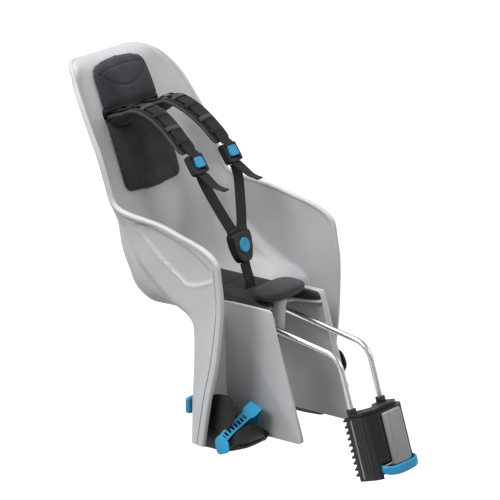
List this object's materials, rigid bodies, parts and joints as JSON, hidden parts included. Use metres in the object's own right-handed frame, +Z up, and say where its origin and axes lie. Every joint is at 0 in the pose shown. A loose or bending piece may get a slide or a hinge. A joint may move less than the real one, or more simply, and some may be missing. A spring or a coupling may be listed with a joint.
{
  "type": "rear child bike seat",
  "caption": "Child seat for behind the rider: moulded shell with pads, harness, leg guards and footrests, on two rods held by a seat tube clamp.",
  "frame": {"origin": "centre of the clamp's bore, on the axis of the bicycle's seat tube", "axes": "+X is the riding direction, +Y is the rider's left, +Z is up; the bore leans back 16.4 degrees from +Z"},
  "size_m": [0.6799, 0.37, 0.6634],
  "materials": {
    "shell": "fine moulded texture",
    "pad": "water-repellent covered foam",
    "webbing": "woven polyester",
    "black_plastic": "satin moulded",
    "blue_plastic": "satin moulded",
    "blue_rubber": "matt",
    "steel_rod": "satin silver",
    "bolt_steel": "zinc plated",
    "liner_rubber": "matt",
    "grey_plastic": "satin moulded"
  },
  "bodies": {
    "clamp": {"carrier_bar": "steel_rod", "bracket_body": "black_plastic", "bracket_rear_jaw": "black_plastic", "liner_front": "liner_rubber", "liner_rear": "liner_rubber", "clamp_bolts": "bolt_steel", "bracket_cover": "grey_plastic", "lever_pin": "bolt_steel"},
    "lever": {"release_lever": "blue_plastic"},
    "seat": {"seat_shell": "shell", "head_pad": "pad", "back_pad": "pad", "seat_pad": "pad", "pommel_pad": "pad", "shoulder_sleeve_left": "webbing", "shoulder_sleeve_right": "webbing", "shoulder_strap_left": "webbing", "shoulder_strap_right": "webbing", "strap_anchor_left": "black_plastic", "strap_anchor_right": "black_plastic", "adjuster_left": "black_plastic", "adjuster_right": "black_plastic", "harness_strap_left": "webbing", "harness_strap_right": "webbing", "buckle_body": "black_plastic", "crotch_strap": "webbing", "crotch_anchor": "black_plastic", "carrier_block": "black_plastic", "carrier_plate": "black_plastic", "carrier_bolts": "bolt_steel"},
    "adjuster_key_left": {"adjuster_button_left": "blue_plastic"},
    "adjuster_key_right": {"adjuster_button_right": "blue_plastic"},
    "buckle_key": {"buckle_button": "blue_plastic"},
    "foot_left": {"footrest_left": "black_plastic", "foot_strap_left": "blue_rubber"},
    "foot_right": {"footrest_right": "black_plastic", "foot_strap_right": "blue_rubber"},
    "foot_key_left": {"footrest_release_left": "blue_plastic"},
    "foot_key_right": {"footrest_release_right": "blue_plastic"}
  },
  "joints": [
    {"name": "seat_slide", "type": "slide", "parent": "clamp", "child": "seat", "axis": [1, 0, 0], "range_m": [-0.025, 0.025]},
    {"name": "release_lever", "type": "hinge", "parent": "clamp", "child": "lever", "pos_m": [0.0433, 0, -0.0269], "axis": [0, 1, 0], "range_deg": [0, 28], "stiffness_Nm_per_rad": 0.6},
    {"name": "adjuster_press_left", "type": "slide", "parent": "seat", "child": "adjuster_key_left", "axis": [-0.829, 0, -0.5592], "range_m": [0, 0.003], "stiffness_N_per_m": 600},
    {"name": "adjuster_press_right", "type": "slide", "parent": "seat", "child": "adjuster_key_right", "axis": [-0.829, 0, -0.5592], "range_m": [0, 0.003], "stiffness_N_per_m": 600},
    {"name": "buckle_press", "type": "slide", "parent": "seat", "child": "buckle_key", "axis": [-0.9613, 0, -0.2756], "range_m": [0, 0.003], "stiffness_N_per_m": 1200},
    {"name": "footrest_lift_left", "type": "slide", "parent": "seat", "child": "foot_left", "axis": [0, 0, 1], "range_m": [0, 0.1]},
    {"name": "footrest_lift_right", "type": "slide", "parent": "seat", "child": "foot_right", "axis": [0, 0, 1], "range_m": [0, 0.1]},
    {"name": "footrest_press_left", "type": "slide", "parent": "foot_left", "child": "foot_key_left", "axis": [1, 0, 0], "range_m": [0, 0.003], "stiffness_N_per_m": 800},
    {"name": "footrest_press_right", "type": "slide", "parent": "foot_right", "child": "foot_key_right", "axis": [1, 0, 0], "range_m": [0, 0.003], "stiffness_N_per_m": 800}
  ]
}
